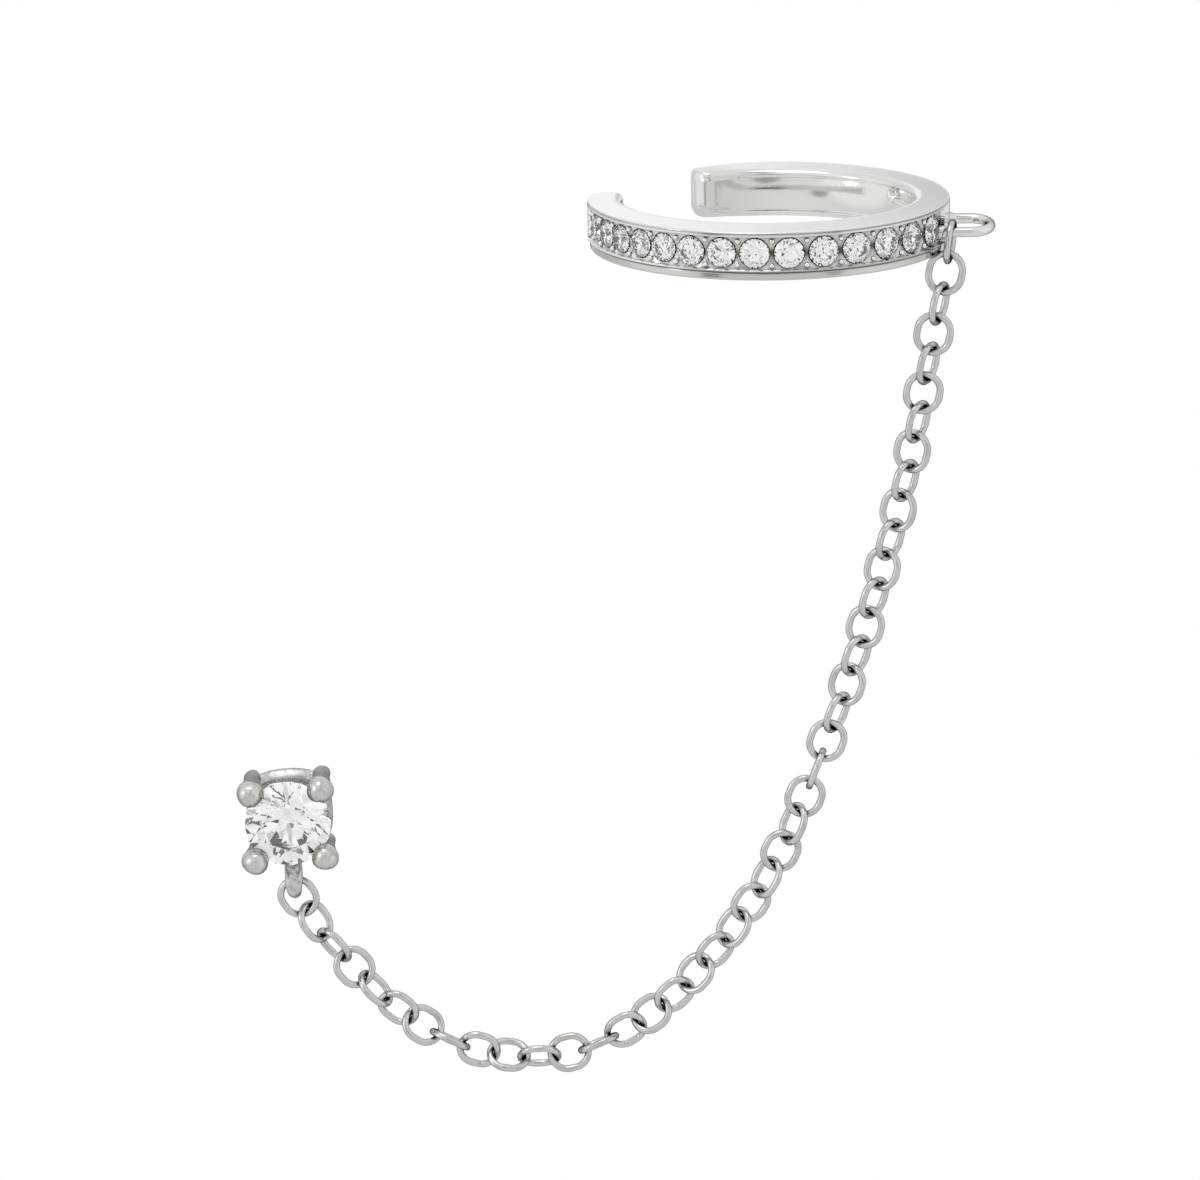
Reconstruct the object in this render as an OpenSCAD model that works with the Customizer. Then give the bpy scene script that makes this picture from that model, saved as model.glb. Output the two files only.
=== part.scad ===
// Ear chain earring: a solitaire stud for the lobe and an open cuff for the rim of the ear,
// joined by one fine chain. Millimetres, +Z up, worn with the stones facing -Y.
// The origin is where the stud's setting sits on the lobe: the centre of its back plane,
// on the axis of the stone and the post.

/* [Stud] */
// Diameter of the stud's stone
stud_stone_d = 2.9; // [2.7:0.05:3.0]
// Thickness of each of the four prongs
prong_d = 0.56; // [0.5:0.02:0.64]
// Diameter of the ball that closes each prong over the stone
prong_ball_d = 0.84; // [0.76:0.02:0.9]
// Overlap of each prong on the stone's edge, where the seat is cut
prong_bite = 0.07; // [0.04:0.01:0.1]
// Height of the stone's widest plane in front of the back plane
girdle_h = 2.0; // [1.9:0.05:2.2]
// Thickness of the square rail that joins the prongs
rail_w = 0.4; // [0.34:0.02:0.44]
// Turn of the whole stud, counter-clockwise as seen from the front
stud_turn = 3; // [0:1:5]

/* [Post] */
// Thickness of the ear post
post_d = 0.8; // [0.7:0.05:1]
// Length of the ear post behind the setting's foot
post_length = 9.8; // [8:0.1:12]
// Lean of the ear post, tip down
post_lean = 12; // [8:1:14]
// Diameter of the round foot that the post is soldered in
foot_d = 1.2; // [1:0.05:1.3]

/* [Eyelet] */
// Drop of the eyelet's hole below the stone's axis
eyelet_drop = 2.25; // [2.2:0.05:2.5]
// Distance of the eyelet's hole in front of the back plane
eyelet_forward = 1.0; // [0.9:0.05:1.1]
// Diameter of the eyelet's hole
eyelet_hole_d = 0.6; // [0.58:0.01:0.66]
// Outer diameter of the eyelet's ring
eyelet_d = 1.28; // [1.1:0.02:1.4]
// Width of the eyelet from side to side
eyelet_w = 0.62; // [0.5:0.02:0.66]

/* [Cuff] */
// Outer diameter of the cuff
cuff_d = 12; // [11.6:0.1:13]
// Height of the cuff's band
cuff_h = 1.6; // [1.5:0.05:1.8]
// Thickness of the wall at the side loop
side_wall = 1.15; // [1:0.05:1.3]
// Thickness of the wall in the middle of each arm
arm_wall = 1.7; // [1.5:0.05:1.9]
// Rounding of the opening's two lips
lip_r = 0.2; // [0.1:0.02:0.3]
// Bevel of the band's outer edges
edge_bevel = 0.05; // [0.03:0.01:0.08]
// Height of the stepped lip below the stones
step_h = 0.28; // [0.2:0.02:0.34]
// Depth of the stepped lip below the band's outside
step_deep = 0.08; // [0.04:0.01:0.12]
// Direction in which the front arm ends, from the right hand side
front_arm_end = 169; // [160:1:172]
// Direction in which the back arm ends, from the right hand side
back_arm_end = 118; // [110:1:124]

/* [Row of stones] */
// Number of stones in the cuff's row
stone_count = 14; // [12:1:14]
// Diameter of the first stone, at the open end of the row
first_stone_d = 0.9; // [0.8:0.02:0.92]
// Diameter of the last stone, beside the side loop
last_stone_d = 1.04; // [0.9:0.02:1.06]
// Height of the channel that the stones are set in
channel_h = 1.1; // [1.06:0.01:1.12]
// Depth of the channel
channel_deep = 0.13; // [0.1:0.01:0.15]
// Width of the rim left above the channel
top_rim = 0.16; // [0.1:0.01:0.18]
// Diameter of the small beads that hold the stones
bead_d = 0.18; // [0.14:0.01:0.19]
// Clearance round each stone in its seat
seat_gap = 0.02; // [0.02:0.005:0.03]

/* [Side loop] */
// Thickness of the side loop's wire
loop_wire_d = 0.33; // [0.28:0.01:0.36]
// Distance between the side loop's two legs
loop_w = 1.3; // [1.2:0.05:1.4]
// Reach of the side loop past the cuff's outside
loop_reach = 1.45; // [1.35:0.05:1.7]
// Lean of the side loop, front leg down
loop_lean = 8.7; // [4:0.1:12]
// Height of the side loop above the cuff's lower face
loop_h = 0.78; // [0.7:0.02:0.9]
// Distance of the side loop in front of the cuff's middle
loop_forward = 1.25; // [1.1:0.05:1.3]

/* [Chain] */
// Length of a chain link
link_length = 1.54; // [1.53:0.01:1.57]
// Width of a chain link
link_width = 1.31; // [1.25:0.01:1.36]
// Thickness of the links' wire
link_wire_d = 0.18; // [0.16:0.01:0.19]
// Gap that is kept between each link and the next
link_gap = 0.14; // [0.1:0.01:0.16]

/* [Hidden] */
$fn = 40;
// A round brilliant's proportions, as shares of its radius.
table_share = 0.56;
star_share = 0.76;
crown_share = 0.3;
girdle_share = 0.06;
pavilion_share = 0.86;
lower_share = 0.24;

// How far a cut reaches past the face that it leaves by.
past = 0.5;
stud_turned = [0, -stud_turn, 0];
stone_r = stud_stone_d / 2;
prong_r = prong_d / 2;
ball_r = prong_ball_d / 2;
prong_at = stone_r - prong_bite + prong_r;
rail_r = prong_at - prong_d * 0.75;
rail_y = -prong_r - rail_w * 0.4;
spoke_d = rail_w * 0.9;
ball_forward = girdle_h + crown_share * stone_r - ball_r / 3;
post_r = post_d / 2;
foot_h = rail_w * 0.9;
foot_front = rail_w * 0.375;
neck_w = eyelet_w * 0.9;
neck_y = (rail_y - eyelet_forward) / 2;
neck_root = rail_w / 4;
rail_bevel = 0.06;
eyelet_at = [0, -eyelet_forward, -eyelet_drop];

// The cuff's centre, on the plane of its lower face. Its side with the loop keeps its place.
cuff_r = cuff_d / 2;
cuff_side = 22.28;
cuff_at = [cuff_side - cuff_r, 0.9, 18.944];
opening_w = cuff_d - 2 * side_wall;
opening_deep = cuff_d - 2 * arm_wall;
opening_back = 0.1;
mouth_reach = cuff_r * 2;
function opening_r(a) =
    1 / norm([cos(a) / (opening_w / 2), sin(a) / (opening_deep / 2)]) + opening_back * sin(a);
front_corner_r = 0.28;
front_cut = front_arm_end + asin(front_corner_r / cuff_r);
back_middle = (cuff_r + opening_r(back_arm_end)) / 2;
back_pad_r = (cuff_r - opening_r(back_arm_end)) / 2;
back_cut = back_arm_end - asin(back_pad_r / back_middle);
mouth_middle = (front_arm_end + back_arm_end) / 2;
back_top_r = 0.24;
back_bottom_r = 0.37;
notch_long = 1.7;
notch_high = 0.5;
notch_deep = 0.2;
notch_middle = (notch_long - notch_high) / 2;
notch_below_rim = 0.37;
notch_direction = 19.5;

// The row of stones, by direction round the cuff. It ends short of the side loop's front leg, and
// the channel runs on to under that leg.
leg_side = loop_forward + loop_w / 2 * cos(loop_lean);
leg_direction = -asin(leg_side / cuff_r);
row_start = -165.2;
row_to_leg = 7.3;
row_span = leg_direction - row_to_leg - row_start;
row_spread = 0.167;
channel_before = 9.3;
channel_start = row_start - channel_before;
channel_end = leg_direction + asin(loop_wire_d / 2 / cuff_r);
row_z = cuff_h - top_rim - channel_h / 2;
bead_inset = 0.13;
bead_offset = channel_h / 2 - bead_inset;
girdle_r = cuff_r - channel_deep - seat_gap;
bead_r_at = cuff_r - channel_deep + bead_d / 10;
function row_share(k) = k / (stone_count - 1);
function row_direction(k) =
    row_start + row_span * (row_share(k) + row_spread * row_share(k) * (row_share(k) - 1));
function row_stone_d(k) = first_stone_d + (last_stone_d - first_stone_d) * row_share(k);

// The side loop's middle, where its legs run into its round end.
loop_at = cuff_at + [cuff_r + loop_reach - loop_wire_d / 2 - loop_w / 2, -loop_forward, loop_h];
loop_root = cuff_r * 0.9;
leg_y = cuff_at[1] - leg_side;
leg_z = loop_at[2] - loop_w / 2 * sin(loop_lean);

// The chain's route from the side loop's front leg to the stud's eyelet.
bend_r = (link_width - link_wire_d) / 2;
half_straight = (link_length - link_wire_d) / 2 - bend_r;
link_pitch = link_length - 2 * link_wire_d - link_gap;
eyelet_turned = [eyelet_at[2] * sin(-stud_turn), eyelet_at[1], eyelet_at[2] * cos(stud_turn)];
hang_sag = (bend_r - sqrt(pow(bend_r, 2) - pow(eyelet_w / 2, 2))) / 2;
hang_lean = 8;
last_way = [-0.55, 0, 0.835];
first_link_in = 0.665;
first_link_forward = 0.1;
first_link_drop = link_length / 2 - link_wire_d - loop_wire_d / 2 - link_gap + 0.01;
first_link_at = [loop_at[0] - first_link_in, leg_y - first_link_forward, leg_z - first_link_drop];
last_link_at = eyelet_turned - half_straight * last_way
    + (bend_r - hang_sag) * [sin(hang_lean), 0, -cos(hang_lean)];
ROUTE = [
    first_link_at,
    [22.3, -1.3, 18.3],
    [21.7, -1.4, 16.3],
    [20.9, -1, 12.1],
    [19.9, -1, 8.15],
    [18.7, -1, 4.2],
    [17.3, -1, 0.4],
    [16, -1, -2.4],
    [14.2, -1, -5],
    [12.05, -1, -7.15],
    [9.2, -1, -8.5],
    [6.1, -1, -8.3],
    [3.5, -1, -6.8],
    [1.4, -1, -4.55],
    last_link_at
];

// How the links roll along the chain, as seen in the photograph: share of the chain's length,
// roll of the odd links, roll of the even links over a quarter turn.
ROLL = [
    [0, -10, -10],
    [0.07, -10, -30],
    [0.12, 0, -30],
    [0.17, -30, -37],
    [0.26, -32, -42],
    [0.31, -20, -42],
    [0.36, -30, -42],
    [0.4, 0, -25],
    [0.43, 0, -6],
    [0.48, 0, 32],
    [0.52, 8, 32],
    [0.6, 33, 46],
    [0.67, 25, 56],
    [0.71, 12, 9],
    [0.76, -24, -32],
    [0.83, -81, -92],
    [0.9, -160, -156],
    [1, -248, -270]
];

// A smooth curve through the route's points, and the way along it.
curve_steps = 12;
last_step = len(ROUTE) - 2;
route_ends = concat([2 * ROUTE[0] - ROUTE[1]], ROUTE, [2 * ROUTE[last_step + 1] - ROUTE[last_step]]);
function curve_point(a, b, c, d, t) =
    (2 * b + (c - a) * t + (2 * a - 5 * b + 4 * c - d) * t * t + (3 * b - a - 3 * c + d) * t * t * t) / 2;
curve = [
    for (i = [0 : last_step])
    for (s = [0 : i < last_step ? curve_steps - 1 : curve_steps])
    curve_point(route_ends[i], route_ends[i + 1], route_ends[i + 2], route_ends[i + 3], s / curve_steps)
];
function step_length(i) = i < len(curve) - 1 ? norm(curve[i + 1] - curve[i]) : 0;
gone = [for (i = 0, d = 0; i < len(curve); d = d + step_length(i), i = i + 1) d];
route_length = gone[len(gone) - 1];
link_count = round(route_length / link_pitch) + 1;
function along(d) = [lookup(d, [for (i = [0 : len(curve) - 1]) [gone[i], curve[i][0]]]),
    lookup(d, [for (i = [0 : len(curve) - 1]) [gone[i], curve[i][1]]]),
    lookup(d, [for (i = [0 : len(curve) - 1]) [gone[i], curve[i][2]]])];
function unit(v) = v / norm(v);
way_step = 0.3;
function way(d) = unit(along(min(d + way_step, route_length)) - along(max(d - way_step, 0)));
function link_share(i) = i / (link_count - 1);
function link_roll(i) = i % 2 == 1
    ? lookup(link_share(i), [for (r = ROLL) [r[0], r[1]]])
    : 90 + lookup(link_share(i), [for (r = ROLL) [r[0], r[2]]]);
function link_side(t, roll) =
    let (right = unit([-t[2], 0, t[0]]), back = cross(right, t)) cos(roll) * right + sin(roll) * back;

function two_digits(n) = n < 10 ? str("0", n) : str(n);
function stone_name(k) = str("cuff_stone_", two_digits(k + 1));
STONE_NAMES = [for (k = [0 : stone_count - 1]) stone_name(k)];

// Points of one ring of a cut stone: how many, how far out, how high, and turned by how much.
function ring(n, r, z, turn) =
    [for (i = [0 : n - 1]) [r * cos(i * 360 / n + turn), r * sin(i * 360 / n + turn), z]];

// A round brilliant with its girdle on z = 0 and its table up. The mains are flat, so the star
// and lower points are set on the planes of the mains beside them.
module brilliant(d) {
    r = d / 2;
    half = 22.5;
    edge = girdle_share * r / 2;
    table_z = edge + crown_share * r;
    culet_z = -edge - pavilion_share * r;
    star_z = table_z - (star_share * cos(half) - table_share) * (table_z - edge) / (1 - table_share);
    lower_z = culet_z + lower_share * cos(half) * (-edge - culet_z);
    points = concat(
        ring(8, table_share * r, table_z, 0),
        ring(8, star_share * r, star_z, half),
        ring(16, r, edge, 0),
        ring(16, r, -edge, 0),
        ring(8, lower_share * r, lower_z, half),
        [[0, 0, culet_z]]
    );
    star = 8;
    upper = 16;
    lower = 32;
    break = 48;
    culet = 56;
    faces = concat(
        [[for (i = [7 : -1 : 0]) i]],
        [for (i = [0 : 7]) [i, (i + 1) % 8, star + i]],
        [for (i = [0 : 7]) [i, star + i, upper + 2 * i, star + (i + 7) % 8]],
        [for (i = [0 : 7]) [star + i, upper + 2 * i + 1, upper + 2 * i]],
        [for (i = [0 : 7]) [star + i, upper + (2 * i + 2) % 16, upper + 2 * i + 1]],
        [for (i = [0 : 15]) [upper + i, upper + (i + 1) % 16, lower + (i + 1) % 16, lower + i]],
        [for (i = [0 : 7]) [break + i, lower + 2 * i, lower + 2 * i + 1]],
        [for (i = [0 : 7]) [break + i, lower + 2 * i + 1, lower + (2 * i + 2) % 16]],
        [for (i = [0 : 7]) [culet, break + (i + 7) % 8, lower + 2 * i, break + i]]
    );
    polyhedron(points = points, faces = faces);
}

// The room that a stone takes in its seat, open above, so that it can be dropped in.
module seat(d, room) {
    r = d / 2;
    edge = girdle_share * r / 2;
    rotate_extrude()
        polygon([
            [0, -edge - pavilion_share * r - seat_gap],
            [r + seat_gap, -edge - seat_gap / 2],
            [r + seat_gap, edge],
            [table_share * r + seat_gap, edge + crown_share * r + seat_gap],
            [table_share * r + seat_gap, room],
            [0, room]
        ]);
}

// Places its children on the stud stone's girdle, with the table to the front.
module at_stud_stone() {
    rotate(stud_turned)
        translate([0, -girdle_h, 0])
            rotate([90, 0, 0])
                children();
}

// A turned pin along Z, from z = 0 up, with one end rounded and a ball on the other.
module turned_pin(r, length, ball) {
    rotate_extrude()
        intersection() {
            square([ball + r, length + ball + r]);
            union() {
                translate([0, r]) circle(r = r);
                translate([0, r]) square([r, length - r]);
                translate([0, length]) circle(r = ball);
            }
        }
}

module prong() {
    rotate([90, 0, 0]) turned_pin(prong_r, ball_forward, ball_r);
}

// The foot, on the crossed bars, and the post with its rounded tip.
module post() {
    shaft = post_length - post_r;
    translate([0, rail_y, 0])
        rotate([-90 - post_lean, 0, 0])
            rotate_extrude() {
                translate([0, -foot_front]) square([foot_d / 2, foot_front + foot_h]);
                translate([0, foot_h]) square([post_r, shaft]);
                intersection() {
                    translate([0, foot_h + shaft]) circle(r = post_r);
                    translate([0, foot_h + shaft]) square([post_r, post_r]);
                }
            }
}

// The rail's section is a square with its corners taken off.
module rail() {
    half = rail_w / 2;
    flat = half - rail_bevel;
    translate([0, rail_y, 0])
        rotate([90, 0, 0])
            rotate_extrude()
                translate([rail_r, 0])
                    polygon([
                        [-half, -flat], [-flat, -half], [flat, -half], [half, -flat],
                        [half, flat], [flat, half], [-flat, half], [-half, flat]
                    ]);
}

// The eyelet's ring, round a hole along X, and the neck that carries it on the rail.
module eyelet() {
    ring_r = (eyelet_d - eyelet_hole_d) / 4;
    middle_r = (eyelet_d + eyelet_hole_d) / 4;
    flat = eyelet_w / 2 - ring_r;
    translate(eyelet_at)
        rotate([0, 90, 0])
            rotate_extrude() {
                for (side = [-1, 1])
                    translate([middle_r, side * flat]) circle(r = ring_r);
                translate([middle_r - ring_r, -flat]) square([2 * ring_r, 2 * flat]);
            }
    translate([0, neck_y, -eyelet_drop + middle_r])
        cylinder(d = neck_w, h = eyelet_drop - middle_r - rail_r + neck_root);
}

module stud_setting() {
    color("gainsboro")
        difference() {
            union() {
                rotate(stud_turned) {
                    for (k = [0 : 3])
                        rotate([0, 45 + 90 * k, 0])
                            translate([prong_at, 0, 0]) prong();
                    rail();
                    for (k = [0, 1])
                        rotate([0, 45 + 90 * k, 0])
                            translate([-prong_at, rail_y, 0])
                                rotate([0, 90, 0]) cylinder(d = spoke_d, h = 2 * prong_at);
                    eyelet();
                }
                post();
            }
            at_stud_stone() seat(stud_stone_d, crown_share * stone_r + seat_gap * 2);
        }
}

module stud_stone() {
    color("white")
        at_stud_stone() brilliant(stud_stone_d);
}

module link() {
    for (side = [-1, 1]) {
        translate([0, 0, side * half_straight])
            rotate([side * 90, 0, 0])
                rotate_extrude(angle = 180)
                    translate([bend_r, 0]) circle(d = link_wire_d, $fn = 16);
        translate([side * bend_r, 0, -half_straight])
            cylinder(d = link_wire_d, h = 2 * half_straight, $fn = 16);
    }
}

module ear_chain() {
    color("silver")
        for (i = [0 : link_count - 1]) {
            d = route_length * link_share(i);
            t = way(d);
            s = link_side(t, link_roll(i));
            n = cross(t, s);
            p = along(d);
            multmatrix([[s[0], n[0], t[0], p[0]], [s[1], n[1], t[1], p[1]], [s[2], n[2], t[2], p[2]]])
                link();
        }
}

// Places its children on stone k of the cuff's row: x is out of the cuff.
module at_row(direction) {
    rotate([0, 0, direction])
        translate([girdle_r, 0, row_z])
            children();
}

module ring_body() {
    rotate_extrude()
        polygon([
            [0, 0],
            [cuff_r - step_deep - edge_bevel, 0],
            [cuff_r - step_deep, edge_bevel],
            [cuff_r - step_deep, step_h],
            [cuff_r, step_h],
            [cuff_r, cuff_h - edge_bevel],
            [cuff_r - edge_bevel, cuff_h],
            [0, cuff_h]
        ]);
}

// The oval opening, with both lips rounded.
module ring_opening() {
    translate([0, opening_back, 0])
        scale([1, opening_deep / opening_w, 1])
            rotate_extrude()
                difference() {
                    translate([0, -past]) square([opening_w / 2 + lip_r, cuff_h + 2 * past]);
                    translate([opening_w / 2, lip_r]) square([2 * lip_r, cuff_h - 2 * lip_r]);
                    for (z = [lip_r, cuff_h - lip_r])
                        translate([opening_w / 2 + lip_r, z]) circle(r = lip_r);
                }
}

// The front arm's end: a flat face with two rounded corners, along the arm.
module front_end() {
    inner = opening_r(front_arm_end) + front_corner_r;
    outer = cuff_r - front_corner_r;
    rotate(front_arm_end) {
        for (x = [inner, outer])
            translate([x, front_corner_r]) circle(r = front_corner_r);
        translate([inner, 0]) square([outer - inner, 2 * front_corner_r]);
    }
}

// The back arm's end: a round pad as thick as the wall, with soft upper and lower edges.
module back_end() {
    rotate([0, 0, back_cut])
        translate([back_middle, 0, 0])
            rotate_extrude() {
                square([back_pad_r - back_bottom_r, cuff_h]);
                translate([0, back_bottom_r]) square([back_pad_r - back_top_r, cuff_h - back_bottom_r]);
                translate([0, back_bottom_r]) square([back_pad_r, cuff_h - back_bottom_r - back_top_r]);
                intersection() {
                    translate([back_pad_r - back_bottom_r, back_bottom_r]) circle(r = back_bottom_r);
                    square([back_pad_r, back_bottom_r]);
                }
                intersection() {
                    translate([back_pad_r - back_top_r, cuff_h - back_top_r]) circle(r = back_top_r);
                    translate([0, cuff_h - back_top_r]) square([back_pad_r, back_top_r]);
                }
            }
}

// What is cut away between the two arms, short of their ends.
module mouth() {
    difference() {
        translate([0, 0, -past])
            linear_extrude(height = cuff_h + 2 * past)
                difference() {
                    polygon([
                        [0, 0],
                        mouth_reach * [cos(back_cut), sin(back_cut)],
                        mouth_reach * [cos(mouth_middle), sin(mouth_middle)],
                        mouth_reach * [cos(front_cut), sin(front_cut)]
                    ]);
                    front_end();
                }
        back_end();
    }
}

module channel() {
    rotate([0, 0, channel_start])
        rotate_extrude(angle = channel_end - channel_start)
            translate([cuff_r - channel_deep, cuff_h - top_rim - channel_h])
                square([2 * channel_deep, channel_h]);
}

module side_loop() {
    leg = loop_at[0] - cuff_at[0] - loop_root;
    translate(loop_at - cuff_at)
        rotate([loop_lean, 0, 0]) {
            rotate([0, 0, -90])
                rotate_extrude(angle = 180)
                    translate([loop_w / 2, 0]) circle(d = loop_wire_d);
            for (side = [-1, 1])
                translate([-leg, side * loop_w / 2, 0])
                    rotate([0, 90, 0]) cylinder(d = loop_wire_d, h = leg);
        }
}

module cuff_band() {
    color("gainsboro")
        translate(cuff_at) {
            difference() {
                ring_body();
                ring_opening();
                mouth();
                channel();
                for (k = [0 : stone_count - 1])
                    at_row(row_direction(k))
                        rotate([0, 90, 0]) seat(row_stone_d(k), channel_deep * 3);
                rotate([0, 0, notch_direction])
                    translate([opening_w / 2 - past, 0, cuff_h - notch_below_rim])
                        rotate([0, 90, 0])
                            linear_extrude(height = past + notch_deep) {
                                for (side = [-1, 1])
                                    translate([0, side * notch_middle]) circle(d = notch_high);
                                square([notch_high, 2 * notch_middle], center = true);
                            }
            }
            for (k = [-1 : stone_count - 2])
                for (side = [-1, 1])
                    rotate([0, 0, (row_direction(k) + row_direction(k + 1)) / 2])
                        translate([bead_r_at, 0, row_z + side * bead_offset]) sphere(d = bead_d);
            side_loop();
        }
}

module cuff_stone(k) {
    color("white")
        translate(cuff_at)
            at_row(row_direction(k))
                rotate([0, 90, 0]) brilliant(row_stone_d(k));
}

stud_setting();
stud_stone();
ear_chain();
cuff_band();
for (k = [0 : stone_count - 1])
    cuff_stone(k);
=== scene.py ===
# %% [markdown]
# # Dressing an ear chain earring
# The earring has a solitaire stud for the lobe, an open cuff with a row of small stones for the rim of the
# ear, and one fine chain between them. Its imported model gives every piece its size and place. This script
# makes the finished surfaces over it: real wire in the links, a polished band with cut seats, cast prongs and
# clear stones. Sizes are in millimetres and turned into metres when a mesh is made.

# %% Frame
import math
import bpy
import numpy as np
from mathutils import Matrix, Vector


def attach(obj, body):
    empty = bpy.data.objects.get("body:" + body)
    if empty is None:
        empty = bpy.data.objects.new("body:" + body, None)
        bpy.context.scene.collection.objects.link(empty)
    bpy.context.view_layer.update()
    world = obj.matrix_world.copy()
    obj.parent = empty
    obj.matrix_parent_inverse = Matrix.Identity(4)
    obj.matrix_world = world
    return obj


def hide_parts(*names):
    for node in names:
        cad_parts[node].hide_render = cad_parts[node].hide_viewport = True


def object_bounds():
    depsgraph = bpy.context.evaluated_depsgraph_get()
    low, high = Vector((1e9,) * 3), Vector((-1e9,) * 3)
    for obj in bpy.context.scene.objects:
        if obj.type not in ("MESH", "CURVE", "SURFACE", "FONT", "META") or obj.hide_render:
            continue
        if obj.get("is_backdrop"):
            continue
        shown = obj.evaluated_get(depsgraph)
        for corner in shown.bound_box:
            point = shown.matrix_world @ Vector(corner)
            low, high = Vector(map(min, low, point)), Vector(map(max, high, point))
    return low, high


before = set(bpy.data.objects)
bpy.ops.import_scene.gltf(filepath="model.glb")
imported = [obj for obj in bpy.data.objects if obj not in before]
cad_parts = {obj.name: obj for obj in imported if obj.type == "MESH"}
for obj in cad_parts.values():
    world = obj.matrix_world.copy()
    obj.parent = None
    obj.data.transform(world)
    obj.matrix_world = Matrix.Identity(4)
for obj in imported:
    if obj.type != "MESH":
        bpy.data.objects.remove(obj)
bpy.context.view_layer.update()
MM = 0.001
print("nodes:", len(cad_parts))

# %% [markdown]
# A jeweller's surfaces are mostly turned, drawn or swept. They could be modelled point by point, but each
# piece here is a grid: one way runs along the piece and the other round it. With the points as one array and
# the faces as another, the shape stays a formula.

# %% Grids of points
def grid_faces(rows, columns, close_rows=False, close_columns=True, start=0):
    """Four-cornered faces between neighbours, in a grid whose points are numbered row by row."""
    i = np.arange(rows if close_rows else rows - 1)[:, None]
    j = np.arange(columns if close_columns else columns - 1)[None, :]
    i2, j2 = (i + 1) % rows, (j + 1) % columns
    corners = (i * columns + j, i * columns + j2, i2 * columns + j2, i2 * columns + j)
    return np.stack(np.broadcast_arrays(*corners), -1).reshape(-1, 4) + start


def fan_faces(edge, centre, turned=False):
    """Triangles from each side of a closed ring of point numbers to one point in its middle."""
    after = np.roll(edge, -1)
    middle = np.full_like(edge, centre)
    return np.stack([after, edge, middle] if turned else [edge, after, middle], -1)


print("faces of a 3 by 4 grid, closed one way:", len(grid_faces(3, 4)))

# %% [markdown]
# A soldered piece is several closed shells, such as a band and its beads. They could be separate objects, but
# metal that is one piece is one mesh here, shell after shell. The object rides on the frame's one body.

# %% From points to a piece
def so_many(points):
    """How many points a list of arrays holds, which is also the number of the next point."""
    return sum(len(part) for part in points)


def add_shell(points, faces, rings):
    """A tube's rings as a closed shell, with a fan on each end, added after the points so far."""
    start = so_many(points)
    rows, around = rings.shape[:2]
    points.append(np.vstack([rings.reshape(-1, 3), rings[0].mean(0), rings[-1].mean(0)]))
    first = np.arange(around) + start
    ends = start + rows * around
    faces.append(grid_faces(rows, around, start=start))
    faces.append(fan_faces(first, ends, turned=True))
    faces.append(fan_faces(first + (rows - 1) * around, ends + 1))


def as_list(faces):
    """The face arrays as one plain list, which is what Blender takes."""
    return [face for part in faces for face in part.tolist()]


def make_piece(name, points, faces, material, node=None):
    """A smooth mesh object from points in millimetres and a list of face arrays, riding on the one body. Node
    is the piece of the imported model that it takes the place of."""
    mesh = bpy.data.meshes.new(name)
    mesh.from_pydata((np.asarray(points).reshape(-1, 3) * MM).tolist(), [], as_list(faces))
    mesh.polygons.foreach_set("use_smooth", np.ones(len(mesh.polygons), bool))
    mesh.materials.append(material)
    piece = bpy.data.objects.new(name, mesh)
    bpy.context.scene.collection.objects.link(piece)
    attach(piece, "root")
    if node:
        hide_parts(node)
    triangles = sum(len(face.vertices) - 2 for face in mesh.polygons)
    print(name, len(mesh.vertices), "points,", triangles, "triangles")
    return piece


print("meshes are in metres, so a millimetre is", MM)

# %% [markdown]
# Filed and polished metal has no hard steps. A bevel could round finished faces, but these shapes are
# formulas, so an edge is a smooth step, a strip is a window of two steps, and a groove is a bell curve.

# %% Soft steps
def ease(t):
    """0 before 0, 1 after 1, and a smooth S between: three t squared less two t cubed."""
    t = np.clip(t, 0, 1)
    return t * t * (3 - 2 * t)


def between(x, low, high, soft):
    """1 between low and high and 0 outside: a step up at low times a step down at high, both soft."""
    return ease((x - low) / soft + 0.5) * ease((high - x) / soft + 0.5)


def bell(x, middle, width):
    """1 in the middle, falling off as e to minus the square of the distance in widths."""
    return np.exp(-((x - middle) / width) ** 2)


def unit(v):
    """Each vector divided by its own length."""
    return v / np.linalg.norm(v, axis=-1, keepdims=True)


print("a step at a quarter and at half:", ease(0.25), ease(0.5))

# %% [markdown]
# The camera stands a quarter of a metre away and looks down at the cuff by fourteen and a half degrees, so
# the cuff shows as a flat oval and the inside of its back arm can be seen. A camera close by would do too,
# but a long lens keeps the perspective mild.

# %% Camera
LOOK_AT = Vector((10.53, -1.0, 7.647)) * MM
DISTANCE = 0.25
LOOK_DOWN = math.radians(14.5)
ROLL = math.radians(0.8)
PIXELS_A_METRE = 30.05 / MM
FRAME_WIDTH = 1200
ahead = Vector((0, math.cos(LOOK_DOWN), -math.sin(LOOK_DOWN)))
level, upright = Vector((1, 0, 0)), Vector((0, math.sin(LOOK_DOWN), math.cos(LOOK_DOWN)))
right = math.cos(ROLL) * level - math.sin(ROLL) * upright
up = math.sin(ROLL) * level + math.cos(ROLL) * upright
camera_data = bpy.data.cameras.new("camera")
camera_data.sensor_fit = "HORIZONTAL"
camera_data.lens = camera_data.sensor_width * PIXELS_A_METRE * DISTANCE / FRAME_WIDTH
camera_data.clip_start = 0.01
camera = bpy.data.objects.new("camera", camera_data)
place = LOOK_AT - DISTANCE * ahead
camera.matrix_world = Matrix([
    (right.x, up.x, -ahead.x, place.x),
    (right.y, up.y, -ahead.y, place.y),
    (right.z, up.z, -ahead.z, place.z),
    (0, 0, 0, 1),
])
bpy.context.scene.collection.objects.link(camera)
bpy.context.scene.camera = camera
print("lens:", round(camera_data.lens, 1), "mm")

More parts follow.
